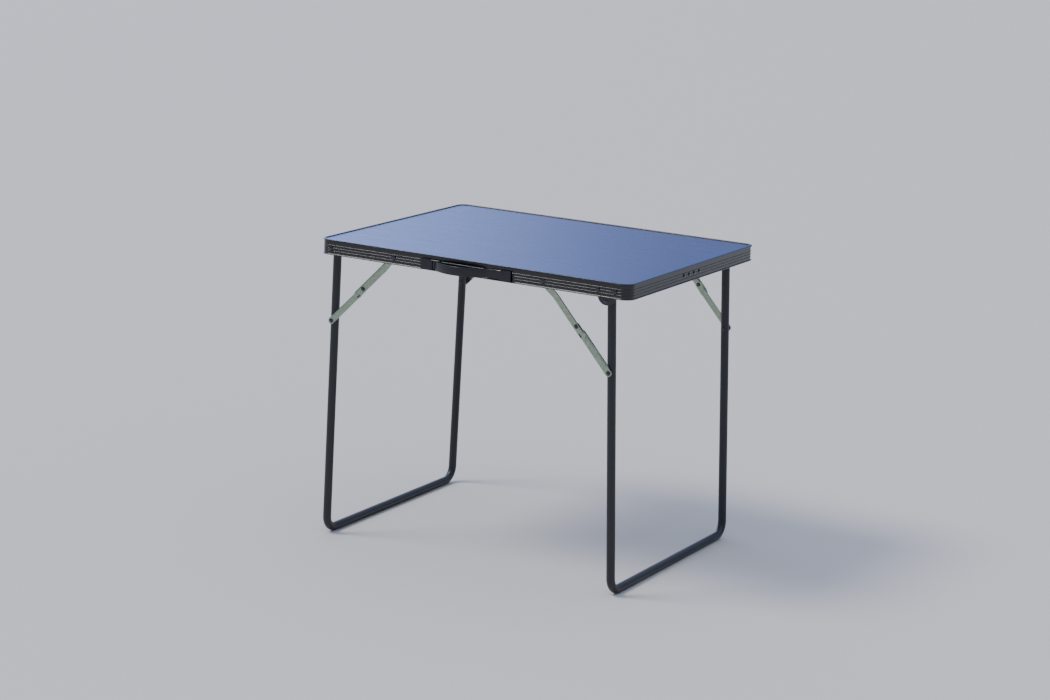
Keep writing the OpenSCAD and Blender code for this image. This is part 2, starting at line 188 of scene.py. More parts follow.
# camera and light
camera = {
    "place": (2.8168, -4.8288, 1.0585),   # from the middle of the rim's top
    "yaw": -30.50,
    "pitch": 13.226,
    "roll": 2.078,
    "lens": 85.71,
}


def makeCamera(c):
    yaw, pitch, roll = (radians(c[k]) for k in ("yaw", "pitch", "roll"))
    ahead = Vector((sin(yaw) * cos(pitch), cos(yaw) * cos(pitch), -sin(pitch)))
    level = Vector((cos(yaw), -sin(yaw), 0))
    up = level.cross(ahead)
    side = level * cos(roll) + up * sin(roll)
    top = up * cos(roll) - level * sin(roll)
    data = bpy.data.cameras.new("camera")
    data.lens = c["lens"]
    data.sensor_width = 36
    data.sensor_fit = "HORIZONTAL"
    data.clip_end = 200
    cam = bpy.data.objects.new("camera", data)
    turn = Matrix((side, top, -ahead)).transposed().to_4x4()
    cam.matrix_world = Matrix.Translation(Vector(c["place"]) + Vector((0, midY, rimZ))) @ turn
    bpy.context.scene.collection.objects.link(cam)
    bpy.context.scene.camera = cam


makeCamera(camera)

light = {
    "sky": [(0.0, (0.16, 0.20, 0.32)), (0.12, (0.34, 0.46, 0.86)), (0.35, (0.50, 0.62, 0.98)),
            (0.75, (1.30, 1.42, 1.75))],
    "skyPeak": 2.0, "skyStrength": 0.62,
    "paneTowards": (-0.80, 0.55, 0.22), "paneEdge": 0.875, "paneFull": 0.965,
    "paneColour": (0.60, 0.78, 1.50), "paneStrength": 1.7,
    "sunFrom": (-0.50, -0.32, 0.80), "sunSize": 20, "sunPower": 1.9, "sunColour": (1.0, 0.97, 0.93),
    "floor": (0.64, 0.62, 0.585),
}


def makeLight(settings):
    world = bpy.data.worlds.new("studio")
    world.use_nodes = True
    tree = world.node_tree
    tree.nodes.clear()
    view = addNode(tree, "ShaderNodeTexCoord").outputs["Generated"]
    height = addNode(tree, "ShaderNodeSeparateXYZ", {0: view}).outputs["Z"]
    ramp = addNode(tree, "ShaderNodeValToRGB", {"Fac": height})
    peak = settings["skyPeak"]
    stops = ramp.color_ramp.elements
    while len(stops) < len(settings["sky"]):
        stops.new(1)
    for stop, (at, colour) in zip(stops, settings["sky"]):
        stop.position = at
        stop.color = (*[c / peak for c in colour], 1)
    sky = addNode(tree, "ShaderNodeBackground",
                  {"Color": ramp.outputs["Color"], "Strength": peak * settings["skyStrength"]})
    aim = Vector(settings["paneTowards"]).normalized()
    towards = addNode(tree, "ShaderNodeVectorMath", {0: view, 1: aim}, operation="DOT_PRODUCT")
    pane = addNode(tree, "ShaderNodeMapRange",
                   {"Value": towards.outputs["Value"], "From Min": settings["paneEdge"],
                    "From Max": settings["paneFull"], "To Max": settings["paneStrength"]},
                   interpolation_type="SMOOTHSTEP")
    paneLight = addNode(tree, "ShaderNodeBackground",
                        {"Color": (*settings["paneColour"], 1), "Strength": pane.outputs[0]})
    both = addNode(tree, "ShaderNodeAddShader", {0: sky.outputs[0], 1: paneLight.outputs[0]})
    addNode(tree, "ShaderNodeOutputWorld", {0: both.outputs[0]})
    bpy.context.scene.world = world
    data = bpy.data.lights.new("sun", "SUN")
    data.energy = settings["sunPower"]
    data.angle = radians(settings["sunSize"])
    data.color = settings["sunColour"]
    lamp = bpy.data.objects.new("sun", data)
    lamp.matrix_world = (-Vector(settings["sunFrom"])).to_track_quat("-Z", "Y").to_matrix().to_4x4()
    bpy.context.scene.collection.objects.link(lamp)


makeLight(light)
print("camera and light ready")


# shader groups
def newGroup(name, inputs, outputs):
    tree = bpy.data.node_groups.new(name, "ShaderNodeTree")
    for label, kind, value in inputs:
        socket = tree.interface.new_socket(label, in_out="INPUT", socket_type=kind)
        socket.default_value = value
    for label, kind in outputs:
        tree.interface.new_socket(label, in_out="OUTPUT", socket_type=kind)
    return tree, tree.nodes.new("NodeGroupInput"), tree.nodes.new("NodeGroupOutput")


def objectPlace(tree):
    return addNode(tree, "ShaderNodeTexCoord").outputs["Object"]


floatIn, vectorIn = "NodeSocketFloat", "NodeSocketVector"


def fleckGroup():
    # fine even texture, for coated and moulded surfaces
    tree, gin, gout = newGroup("flecks", [("Scale", floatIn, 900), ("Contrast", floatIn, 1)],
                               [("Height", floatIn), ("Mask", floatIn)])
    place = objectPlace(tree)
    fine = addNode(tree, "ShaderNodeTexNoise", {"Vector": place,
                   "Scale": gin.outputs["Scale"], "Detail": 3.0, "Roughness": 0.6})
    broad = addNode(tree, "ShaderNodeTexNoise", {"Vector": place,
                    "Scale": 14.0, "Detail": 4.0, "Roughness": 0.55})
    lift = addNode(tree, "ShaderNodeMath", {0: fine.outputs["Fac"], 1: gin.outputs["Contrast"]},
                   operation="MULTIPLY")
    mask = addNode(tree, "ShaderNodeMapRange", {"Value": broad.outputs["Fac"],
                   "From Min": 0.35, "From Max": 0.65})
    tree.links.new(lift.outputs[0], gout.inputs["Height"])
    tree.links.new(mask.outputs[0], gout.inputs["Mask"])
    return tree


def streakGroup():
    # long fine lines along one direction, for grain and rolling marks
    tree, gin, gout = newGroup("streaks",
                               [("Vector", vectorIn, (0, 0, 0)), ("Stretch", vectorIn, (1, 40, 40)),
                                ("Scale", floatIn, 20)],
                               [("Height", floatIn), ("Mask", floatIn)])
    stretch = addNode(tree, "ShaderNodeVectorMath", {0: gin.outputs["Vector"],
                      1: gin.outputs["Stretch"]}, operation="MULTIPLY")
    fine = addNode(tree, "ShaderNodeTexNoise", {"Vector": stretch.outputs[0],
                   "Scale": gin.outputs["Scale"], "Detail": 5.0, "Roughness": 0.62})
    mask = addNode(tree, "ShaderNodeMapRange", {"Value": fine.outputs["Fac"],
                   "From Min": 0.3, "From Max": 0.7})
    tree.links.new(fine.outputs["Fac"], gout.inputs["Height"])
    tree.links.new(mask.outputs[0], gout.inputs["Mask"])
    return tree


def wearGroup():
    # scattered scuffs, and dust on upward faces
    tree, gin, gout = newGroup("wear", [("Scuffs", floatIn, 0.5), ("Dust", floatIn, 0.5)],
                               [("Scuff", floatIn), ("Film", floatIn)])
    place = objectPlace(tree)
    cells = addNode(tree, "ShaderNodeTexNoise", {"Vector": place,
                    "Scale": 46.0, "Detail": 6.0, "Roughness": 0.72})
    bite = addNode(tree, "ShaderNodeMapRange", {"Value": cells.outputs["Fac"],
                   "From Min": 0.63, "From Max": 0.74})
    scuff = addNode(tree, "ShaderNodeMath", {0: bite.outputs[0], 1: gin.outputs["Scuffs"]},
                    operation="MULTIPLY")
    facing = addNode(tree, "ShaderNodeSeparateXYZ",
                     {0: addNode(tree, "ShaderNodeNewGeometry").outputs["Normal"]})
    upward = addNode(tree, "ShaderNodeMapRange", {"Value": facing.outputs["Z"],
                     "From Min": 0.3, "From Max": 1.0})
    film = addNode(tree, "ShaderNodeMath", {0: upward.outputs[0], 1: gin.outputs["Dust"]},
                   operation="MULTIPLY")
    cloud = addNode(tree, "ShaderNodeTexNoise", {"Vector": place,
                    "Scale": 9.0, "Detail": 5.0, "Roughness": 0.6})
    patch = addNode(tree, "ShaderNodeMath", {0: film.outputs[0], 1: cloud.outputs["Fac"]},
                    operation="MULTIPLY")
    tree.links.new(scuff.outputs[0], gout.inputs["Scuff"])
    tree.links.new(patch.outputs[0], gout.inputs["Film"])
    return tree


groups = {"flecks": fleckGroup(), "streaks": streakGroup(), "wear": wearGroup()}


# materials
def newMaterial(name):
    material = bpy.data.materials.new(name)
    material.use_nodes = True
    tree = material.node_tree
    return material, tree, tree.nodes["Principled BSDF"]


def useGroup(tree, name, values=None):
    return fill(tree, addNode(tree, "ShaderNodeGroup", node_tree=groups[name]), values)


def mixColours(tree, mask, a, b):
    node = addNode(tree, "ShaderNodeMix", data_type="RGBA")
    tree.links.new(mask, node.inputs[0])
    for socket, value in ((node.inputs[6], a), (node.inputs[7], b)):
        if isinstance(value, bpy.types.NodeSocket):
            tree.links.new(value, socket)
        else:
            socket.default_value = (*value, 1)
    return node.outputs[2]


def spread(tree, value, low, high):
    return addNode(tree, "ShaderNodeMapRange", {"Value": value, "To Min": low,
                   "To Max": high}).outputs[0]


def dress(tree, shader, colour, mask, roughness):
    tree.links.new(colour, shader.inputs["Base Color"])
    tree.links.new(spread(tree, mask, *roughness), shader.inputs["Roughness"])


def bump(tree, shader, height, distance, strength=1.0, under=None):
    values = {"Height": height, "Distance": distance, "Strength": strength}
    if under is not None:
        values["Normal"] = under
    node = addNode(tree, "ShaderNodeBump", values)
    tree.links.new(node.outputs[0], shader.inputs["Normal"])
    return node.outputs[0]


def darkFinish(name, values):
    # coated metal or moulded plastic: fine texture, faint cloudiness, scuffs and dust
    material, tree, shader = newMaterial(name)
    flecks = useGroup(tree, "flecks", {"Scale": values["grain"], "Contrast": 1.0})
    wear = useGroup(tree, "wear", {"Scuffs": values["scuffs"], "Dust": values["dust"]})
    body = mixColours(tree, flecks.outputs["Mask"], values["dark"], values["light"])
    worn = mixColours(tree, wear.outputs["Scuff"], body, values["scuffColour"])
    film = mixColours(tree, wear.outputs["Film"], worn, values["dustColour"])
    dress(tree, shader, film, flecks.outputs["Mask"], values["roughness"])
    if "coat" in values:
        shader.inputs["Coat Weight"].default_value = values["coat"]
        shader.inputs["Coat Roughness"].default_value = values["coatRoughness"]
    bump(tree, shader, flecks.outputs["Height"], values["depth"])
    return material


legFinish = {
    "dark": (0.004, 0.0055, 0.006), "light": (0.0075, 0.0095, 0.0105),
    "scuffColour": (0.035, 0.04, 0.042), "dustColour": (0.05, 0.05, 0.05),
    "roughness": (0.36, 0.48), "coat": 0.15, "coatRoughness": 0.3,
    "grain": 1400, "depth": 0.00012, "scuffs": 0.35, "dust": 0.15,
}
rivetFinish = dict(legFinish, dark=(0.003, 0.003, 0.004), light=(0.005, 0.005, 0.0065),
                   roughness=(0.08, 0.13), coat=0.6, coatRoughness=0.05, grain=600,
                   depth=0.00002, scuffs=0.15, dust=0.1)
bracketFinish = dict(legFinish, dark=(0.011, 0.012, 0.013), light=(0.017, 0.018, 0.02),
                     roughness=(0.38, 0.5), grain=1200)


def railCoat():
    # satin black extrusion with faint drawing lines that follow the rail
    s = {"dark": (0.0025, 0.003, 0.0036), "light": (0.005, 0.0057, 0.0068), "lines": (0.6, 160, 1),
         "scale": 9.0, "roughness": (0.17, 0.26), "depth": 0.00004}
    material, tree, shader = newMaterial("railCoat")
    run = addNode(tree, "ShaderNodeUVMap", uv_map="railRun")
    lines = useGroup(tree, "streaks",
                     {"Vector": run.outputs[0], "Stretch": s["lines"], "Scale": s["scale"]})
    flecks = useGroup(tree, "flecks", {"Scale": 1100.0, "Contrast": 1.0})
    wear = useGroup(tree, "wear", {"Scuffs": 0.25, "Dust": 0.22})
    body = mixColours(tree, lines.outputs["Mask"], s["dark"], s["light"])
    worn = mixColours(tree, wear.outputs["Scuff"], body, (0.025, 0.027, 0.03))
    film = mixColours(tree, wear.outputs["Film"], worn, (0.035, 0.038, 0.045))
    dress(tree, shader, film, lines.outputs["Mask"], s["roughness"])
    shader.inputs["Metallic"].default_value = 0.0
    shader.inputs["Specular IOR Level"].default_value = 0.45
    shader.inputs["Coat Weight"].default_value = 0.25
    shader.inputs["Coat Roughness"].default_value = 0.2
    first = bump(tree, shader, lines.outputs["Height"], s["depth"])
    bump(tree, shader, flecks.outputs["Height"], 0.00003, 1.0, first)
    return material


def laminateTop():
    # slate-blue melamine: soft streaked grain, satin, with a fine pressed texture; the blue is partly
    # the melamine's own colour and partly a painted reflection of blue sky
    # painted reflection: part of the blue in these colours stands for sky reflected in the top
    s = {"deep": (0.038, 0.055, 0.180), "pale": (0.053, 0.075, 0.225), "vein": (0.027, 0.039, 0.135),
         "roughness": (0.20, 0.29), "depth": 0.00005}
    material, tree, shader = newMaterial("laminateTop")
    place = objectPlace(tree)
    grain = useGroup(tree, "streaks", {"Vector": place, "Stretch": (1.0, 14.0, 1.0), "Scale": 9.0})
    fine = useGroup(tree, "streaks", {"Vector": place, "Stretch": (3.0, 60.0, 1.0), "Scale": 26.0})
    flecks = useGroup(tree, "flecks", {"Scale": 1800.0, "Contrast": 1.0})
    wear = useGroup(tree, "wear", {"Scuffs": 0.10, "Dust": 0.10})
    body = mixColours(tree, grain.outputs["Mask"], s["deep"], s["pale"])
    veinMask = addNode(tree, "ShaderNodeMapRange", {"Value": fine.outputs["Height"], "From Min": 0.52,
                       "From Max": 0.72, "To Max": 0.55}).outputs[0]
    veined = mixColours(tree, veinMask, body, s["vein"])
    worn = mixColours(tree, wear.outputs["Scuff"], veined, (0.11, 0.13, 0.19))
    film = mixColours(tree, wear.outputs["Film"], worn, (0.12, 0.15, 0.26))
    dress(tree, shader, film, grain.outputs["Mask"], s["roughness"])
    shader.inputs["Specular IOR Level"].default_value = 0.5
    shader.inputs["Specular Tint"].default_value = (0.66, 0.79, 1.0, 1)
    first = bump(tree, shader, fine.outputs["Height"], s["depth"])
    bump(tree, shader, flecks.outputs["Height"], 0.00003, 1.0, first)
    return material


def zincPlate():
    # zinc-plated strip: rolling lines, a faint spangle and a slight green-gold cast; the green is partly
    # the plating's own tint and partly a painted reflection of grass
    # painted reflection: part of the green in these two colours stands for grass reflected in the braces
    s = {"dark": (0.17, 0.215, 0.155), "light": (0.36, 0.43, 0.32), "roughness": (0.20, 0.34)}
    material, tree, shader = newMaterial("zincPlate")
    run = addNode(tree, "ShaderNodeUVMap", uv_map="linkRun")
    lines = useGroup(tree, "streaks",
                     {"Vector": run.outputs[0], "Stretch": (2.0, 60.0, 1.0), "Scale": 18.0})
    wear = useGroup(tree, "wear", {"Scuffs": 0.45, "Dust": 0.1})
    place = objectPlace(tree)
    spangle = addNode(tree, "ShaderNodeTexVoronoi", {"Vector": place, "Scale": 190.0})
    tone = mixColours(tree, spread(tree, spangle.outputs["Distance"], 0.15, 1.0), s["dark"], s["light"])
    drawn = mixColours(tree, spread(tree, lines.outputs["Mask"], 0.0, 0.45), tone, s["light"])
    worn = mixColours(tree, wear.outputs["Scuff"], drawn, (0.12, 0.13, 0.11))
    dress(tree, shader, worn, lines.outputs["Mask"], s["roughness"])
    shader.inputs["Metallic"].default_value = 0.9
    bump(tree, shader, lines.outputs["Height"], 0.00004)
    return material


handleFinish = {
    "dark": (0.0035, 0.0038, 0.0075), "light": (0.006, 0.0063, 0.0115),
    "scuffColour": (0.025, 0.025, 0.035), "dustColour": (0.03, 0.03, 0.045),
    "roughness": (0.18, 0.27), "grain": 1500, "depth": 0.00006, "scuffs": 0.25, "dust": 0.25,
}
nylonFinish = dict(handleFinish, dark=(0.03, 0.03, 0.032), light=(0.045, 0.045, 0.048),
                   roughness=(0.4, 0.55), scuffs=0.2, dust=0.05)
plugFinish = dict(handleFinish, dark=(0.008, 0.008, 0.009), light=(0.014, 0.014, 0.015), dust=0.1)


def fibreboard():
    # sealed brown fibreboard: short felted fibres and a mottled tone
    material, tree, shader = newMaterial("fibreboard")
    place = objectPlace(tree)
    fibres = useGroup(tree, "streaks", {"Vector": place, "Stretch": (6.0, 30.0, 6.0), "Scale": 40.0})
    cross = useGroup(tree, "streaks", {"Vector": place, "Stretch": (30.0, 5.0, 6.0), "Scale": 36.0})
    flecks = useGroup(tree, "flecks", {"Scale": 520.0, "Contrast": 1.0})
    base = mixColours(tree, flecks.outputs["Mask"], (0.155, 0.100, 0.062), (0.225, 0.150, 0.095))
    first = mixColours(tree, spread(tree, fibres.outputs["Mask"], 0.0, 0.5), base, (0.30, 0.215, 0.145))
    tone = mixColours(tree, spread(tree, cross.outputs["Mask"], 0.0, 0.35), first, (0.11, 0.07, 0.045))
    dress(tree, shader, tone, fibres.outputs["Mask"], (0.55, 0.75))
    bump(tree, shader, fibres.outputs["Height"], 0.0002)
    return material


def millAluminium(name, light, dark):
    material, tree, shader = newMaterial(name)
    place = objectPlace(tree)
    lines = useGroup(tree, "streaks", {"Vector": place, "Stretch": (90.0, 2.0, 90.0), "Scale": 14.0})
    wear = useGroup(tree, "wear", {"Scuffs": 0.3, "Dust": 0.1})
    tone = mixColours(tree, lines.outputs["Mask"], dark, light)
    worn = mixColours(tree, wear.outputs["Scuff"], tone, (0.3, 0.3, 0.3))
    dress(tree, shader, worn, lines.outputs["Mask"], (0.28, 0.42))
    shader.inputs["Metallic"].default_value = 1.0
    bump(tree, shader, lines.outputs["Height"], 0.00005)
    return material


def floorMaterial():
    material, tree, shader = newMaterial("paleFloor")
    shader.inputs["Base Color"].default_value = (*light["floor"], 1)
    shader.inputs["Roughness"].default_value = 0.85
    shader.inputs["Specular IOR Level"].default_value = 0.2
    # clear from underneath, so the underside can be looked at
    clear = addNode(tree, "ShaderNodeBsdfTransparent")
    behind = addNode(tree, "ShaderNodeNewGeometry").outputs["Backfacing"]
    mix = addNode(tree, "ShaderNodeMixShader", {0: behind, 1: shader.outputs[0], 2: clear.outputs[0]})
    tree.links.new(mix.outputs[0], tree.nodes["Material Output"].inputs["Surface"])
    return material


finish = {
    "laminate": laminateTop(),
    "rail": railCoat(),
    "leg": darkFinish("legCoat", legFinish),
    "bracket": darkFinish("bracketCoat", bracketFinish),
    "rivet": darkFinish("rivetGloss", rivetFinish),
    "handle": darkFinish("handlePlastic", handleFinish),
    "nylon": darkFinish("nylon", nylonFinish),
    "plug": darkFinish("plugPlastic", plugFinish),
    "brace": zincPlate(),
    "washer": millAluminium("washerZinc", (0.62, 0.63, 0.60), (0.42, 0.43, 0.41)),
    "joiner": millAluminium("millAluminium", (0.66, 0.66, 0.67), (0.5, 0.5, 0.51)),
    "fibreboard": fibreboard(),
}

floor = newPiece("floor", [(-40, -40, 0), (40, -40, 0), (40, 40, 0), (-40, 40, 0)], [(0, 1, 2, 3)],
                 floorMaterial())
print("materials ready")


# CAD nodes that keep their own mesh
for nodeName, slotName in (("board_core", "fibreboard"), ("top_laminate", "laminate"),
                           ("rail_joiner", "joiner"), ("handle_rivets", "rivet")):
    mesh = frame["nodes"][nodeName].data
    mesh.materials.clear()
    mesh.materials.append(finish[slotName])

# edge rail: one section swept round the board, from joint to joint
rail = {
    "height": railHi.z - railLo.z, "lipWidth": 6.5 * mm, "lipThick": 2.6 * mm, "proud": 2.4 * mm,
    "web": 1.6 * mm, "corner": 25 * mm, "cornerSteps": 20,
    "ribs": [13.5 * mm, 19.8 * mm, 26.1 * mm], "ribRadius": 1.2 * mm, "ribProud": 0.9 * mm,
    "foot": 1.2 * mm, "ledgeIn": 11 * mm, "ledgeTop": 7.7 * mm, "ledgeThick": 1.4 * mm, "gap": 0.4 * mm,
    "soft": 0.3 * mm, "fillet": 0.5 * mm,
}


def railSection(r):
    # outline as (distance in from the lips, depth below the rim)
    lip = r["lipThick"] / 2
    inside = r["proud"] + r["web"]
    points = [(r["lipWidth"], r["lipThick"])]
    points += [(r["lipWidth"] - lip + x, lip - y) for x, y in arc(0, 0, lip, 0, 90, 6)]
    points += [(lip + x, lip - y) for x, y in arc(0, 0, lip, 90, 270, 14)]
    fillet = r["fillet"]
    points += [(r["proud"] - fillet, r["lipThick"]), (r["proud"], r["lipThick"] + fillet)]
    reach = r["ribRadius"]
    shift = reach - r["ribProud"]
    half = atan2(sqrt(reach ** 2 - shift ** 2), -shift) * 180 / pi
    for depth in r["ribs"]:
        points += [(r["proud"] + shift + x, depth + y)
                   for x, y in arc(0, 0, reach, 360 - half, half, 8)]
    foot = r["foot"]
    low = r["height"] - foot
    points += [(r["proud"], low - foot - fillet), (r["proud"] - fillet, low - foot)]
    points += [(foot + x, low + y) for x, y in arc(0, 0, foot, 270, 90, 12)]
    points += [(inside - r["soft"], r["height"]), (inside, r["height"] - r["soft"])]
    tip, soft, top = r["ledgeIn"], r["soft"], r["ledgeTop"]
    under = top + r["ledgeThick"]
    points += [(inside, under), (tip - soft, under), (tip, under - soft), (tip, top + soft)]
    points += [(tip - soft, top), (inside, top), (inside, r["lipThick"])]
    return points


def railPath(r):
    # points on the lips' outline with the outward direction there
    halfX, halfY = (railHi.x - railLo.x) / 2, (railHi.y - railLo.y) / 2
    c = r["corner"]
    seamMid = sum(i[0].y + i[1].y for i in islands("joiner_rivets")) / 8
    path = [((halfX, seamMid + r["gap"] / 2), (1, 0))]
    for sx, sy, start in ((1, 1, 0), (-1, 1, 90), (-1, -1, 180), (1, -1, 270)):
        for i in range(r["cornerSteps"] + 1):
            a = radians(start + 90 * i / r["cornerSteps"])
            out = (cos(a), sin(a))
            path.append(((sx * (halfX - c) + c * out[0], midY + sy * (halfY - c) + c * out[1]), out))
    path.append(((halfX, seamMid - r["gap"] / 2), (1, 0)))
    return path


def makeRail(r):
    section, path = railSection(r), railPath(r)
    n = len(section)
    verts, faces, run = [], [], [0]
    for (p, out) in path:
        verts += [(p[0] - out[0] * u, p[1] - out[1] * u, rimZ - d) for u, d in section]
    for (a, _), (b, _) in zip(path, path[1:]):
        run.append(run[-1] + hypot(a[0] - b[0], a[1] - b[1]))
    across = [0]
    for a, b in zip(section, section[1:] + section[:1]):
        across.append(across[-1] + hypot(a[0] - b[0], a[1] - b[1]))
    coords = []
    for i in range(len(path) - 1):
        for k in range(n):
            j = (k + 1) % n
            faces.append((i * n + k, (i + 1) * n + k, (i + 1) * n + j, i * n + j))
            coords.append(((run[i], across[k]), (run[i + 1], across[k]),
                           (run[i + 1], across[k + 1]), (run[i], across[k + 1])))
    last = (len(path) - 1) * n
    faces += [tuple(range(n)), tuple(range(last + n - 1, last - 1, -1))]
    coords += [[(0, 0)] * n, [(0, 0)] * n]
    mesh = bpy.data.meshes.new("edgeRail")
    mesh.from_pydata(verts, [], faces)
    layer = mesh.uv_layers.new(name="railRun")
    flat = [c for face in coords for c in face]
    for loop, c in zip(layer.data, flat):
        loop.uv = c
    cleanMesh(mesh)
    attach(setPiece("edgeRail", mesh, finish["rail"], 32), "tabletop", "rail", "edge_rail")


makeRail(rail)
print("rail ready")


# rivets, spacers and washers, set on their places by geometry nodes
def scatterTree():
    # sets a turned part on each point, its axis along the point's outward vector
    tree = bpy.data.node_groups.new("setFasteners", "GeometryNodeTree")
    face = tree.interface
    face.new_socket("Geometry", in_out="INPUT", socket_type="NodeSocketGeometry")
    face.new_socket("Fastener", in_out="INPUT", socket_type="NodeSocketObject")
    face.new_socket("Finish", in_out="INPUT", socket_type="NodeSocketMaterial")
    face.new_socket("Size", in_out="INPUT", socket_type="NodeSocketFloat").default_value = 1
    face.new_socket("Seed", in_out="INPUT", socket_type="NodeSocketInt").default_value = 7
    face.new_socket("Geometry", in_out="OUTPUT", socket_type="NodeSocketGeometry")
    gin, gout = tree.nodes.new("NodeGroupInput"), tree.nodes.new("NodeGroupOutput")
    points = addNode(tree, "GeometryNodeMeshToPoints", {"Mesh": gin.outputs["Geometry"]})
    outward = addNode(tree, "GeometryNodeInputNamedAttribute", {"Name": "outward"},
                      data_type="FLOAT_VECTOR")
    align = addNode(tree, "FunctionNodeAlignRotationToVector",
                    {"Vector": outward.outputs["Attribute"]}, axis="Z")
    spin = addNode(tree, "FunctionNodeRandomValue", {"Seed": gin.outputs["Seed"]}, data_type="FLOAT")
    spin.inputs[3].default_value = 2 * pi
    about = addNode(tree, "ShaderNodeCombineXYZ", {"Z": spin.outputs[1]})
    turned = addNode(tree, "FunctionNodeRotateRotation",
                     {0: align.outputs[0], 1: about.outputs[0]}, rotation_space="LOCAL")
    source = addNode(tree, "GeometryNodeObjectInfo", {"Object": gin.outputs["Fastener"]})
    scale = addNode(tree, "ShaderNodeCombineXYZ", {"X": gin.outputs["Size"], "Y": gin.outputs["Size"],
                    "Z": gin.outputs["Size"]})
    placed = addNode(tree, "GeometryNodeInstanceOnPoints",
                     {"Points": points.outputs[0], "Instance": source.outputs["Geometry"],
                      "Rotation": turned.outputs[0], "Scale": scale.outputs[0]})
    real = addNode(tree, "GeometryNodeRealizeInstances", {0: placed.outputs[0]})
    coated = addNode(tree, "GeometryNodeSetMaterial", {"Geometry": real.outputs[0],
                     "Material": gin.outputs["Finish"]})
    tree.links.new(coated.outputs[0], gout.inputs[0])
    return tree


def runNodes(piece, tree, values):
    # runs a node tree on a piece and keeps the result as a plain mesh
    mod = piece.modifiers.new(tree.name, "NODES")
    mod.node_group = tree
    sockets = {s.name: s.identifier for s in tree.interface.items_tree if s.in_out == "INPUT"}
    for name, value in values.items():
        mod[sockets[name]] = value
    bpy.context.view_layer.update()
    graph = bpy.context.evaluated_depsgraph_get()
    mesh = bpy.data.meshes.new_from_object(piece.evaluated_get(graph), depsgraph=graph)
    old = piece.data
    piece.modifiers.clear()
    piece.data = mesh
    bpy.data.meshes.remove(old)
    return piece


setFasteners = scatterTree()


def pointsMesh(name, spots):
    mesh = bpy.data.meshes.new(name)
    mesh.from_pydata([tuple(p) for p, _ in spots], [], [])
    mesh.attributes.new("outward", "FLOAT_VECTOR", "POINT")
    for item, (_, out) in zip(mesh.attributes["outward"].data, spots):
        item.vector = out
    return setPiece(name, mesh)


def setOn(name, profile, spots, slotName, body, node, steps=32, smooth=38):
    verts, faces = lathe(profile, steps)
    pattern = newPiece(name + "Pattern", verts, faces, finish[slotName], smooth)
    piece = pointsMesh(name, spots)
    runNodes(piece, setFasteners,
             {"Fastener": pattern, "Finish": finish[slotName], "Size": 1.0, "Seed": 7})
    mesh = pattern.data
    bpy.data.objects.remove(pattern)
    bpy.data.meshes.remove(mesh)
    piece.data.name = name
    shade(piece, smooth)
    return attach(piece, body, slotName, node)


rivetShape = {
    "big": {"head": 5.2 * mm, "high": 2.2 * mm, "shank": 3 * mm, "tail": 4.6 * mm,
            "tailHigh": 1.6 * mm, "rim": 0.45 * mm},
    "small": {"head": 3.8 * mm, "high": 1.5 * mm, "shank": 2 * mm, "tail": 3.6 * mm,
              "tailHigh": 1.6 * mm, "rim": 0.45 * mm},
}


def domeProfile(radius, height, rim):
    # from the rim's foot up to the crown, over a short straight rim
    top = height - rim
    ball = (radius ** 2 + top ** 2) / (2 * top)
    points = [(radius - 0.15 * mm, 0), (radius, 0.15 * mm), (radius, rim)]
    steps = 9
    for i in range(1, steps):
        r = radius * (1 - i / steps)
        points.append((r, rim + sqrt(ball ** 2 - r ** 2) - ball + top))
    return points + [(0, height)]


def tailProfile(radius, height, low):
    # formed tail with a punched hollow, from its end up to its shoulder
    return [(0, low + 0.55 * mm), (1.1 * mm, low + 0.45 * mm), (1.9 * mm, low + 0.02 * mm),
            (radius - 0.5 * mm, low), (radius - 0.12 * mm, low + 0.25 * mm), (radius, low + 0.7 * mm),
            (radius, low + height - 0.15 * mm), (radius - 0.15 * mm, low + height)]


def rivetProfile(s, length):
    # whole rivet: tail, shank and domed head; the head's seat is at height 0
    low = -length
    points = tailProfile(s["tail"], s["tailHigh"], low)
    points += [(s["shank"], low + s["tailHigh"]), (s["shank"], 0)]
    return points + domeProfile(s["head"], s["high"], s["rim"])


def ringProfile(inner, outer, low, high, soft):
    return [(inner, low), (outer - soft, low), (outer, low + soft), (outer, high - soft),
            (outer - soft, high), (inner, high)]


def spotsAlongY(node, seatDepth):
    # head seats of rivets that run across the table
    spots = []
    for lo, hi in islands(node):
        mid = (lo + hi) / 2
        out = 1 if mid.y > midY else -1
        seat = (hi.y - seatDepth) if out > 0 else (lo.y + seatDepth)
        spots.append((Vector((mid.x, seat, mid.z)), Vector((0, out, 0))))
    return spots


def islandLength(node, axis=1):
    lo, hi = islands(node)[0]
    return hi[axis] - lo[axis]


big, small = rivetShape["big"], rivetShape["small"]
for node, body in (("left_hinge_rivets", "tabletop"), ("right_hinge_rivets", "tabletop"),
                   ("brace_anchor_rivets", "tabletop"), ("bracket_rivets", "tabletop"),
                   ("left_brace_rivets", "left_legs"), ("right_brace_rivets", "right_legs")):
    profile = rivetProfile(big, islandLength(node) - big["high"])
    setOn("rivets_" + node, profile, spotsAlongY(node, big["high"]), "rivet", body, node)

jointSpots = [(Vector((hi.x - small["high"], (lo.y + hi.y) / 2, (lo.z + hi.z) / 2)), Vector((1, 0, 0)))
              for lo, hi in islands("joiner_rivets")]
setOn("rivets_joiner", rivetProfile(small, islandLength("joiner_rivets", 0) - small["high"]),
      jointSpots, "rivet", "tabletop", "joiner_rivets")

for node, body in (("left_hinge_spacers", "tabletop"), ("right_hinge_spacers", "tabletop"),
                   ("left_brace_spacers", "left_legs"), ("right_brace_spacers", "right_legs")):
    ring = ringProfile(3.05 * mm, 6.5 * mm, -islandLength(node), 0, 0.4 * mm)
    setOn("spacers_" + node, ring, spotsAlongY(node, 0), "nylon", body, node)

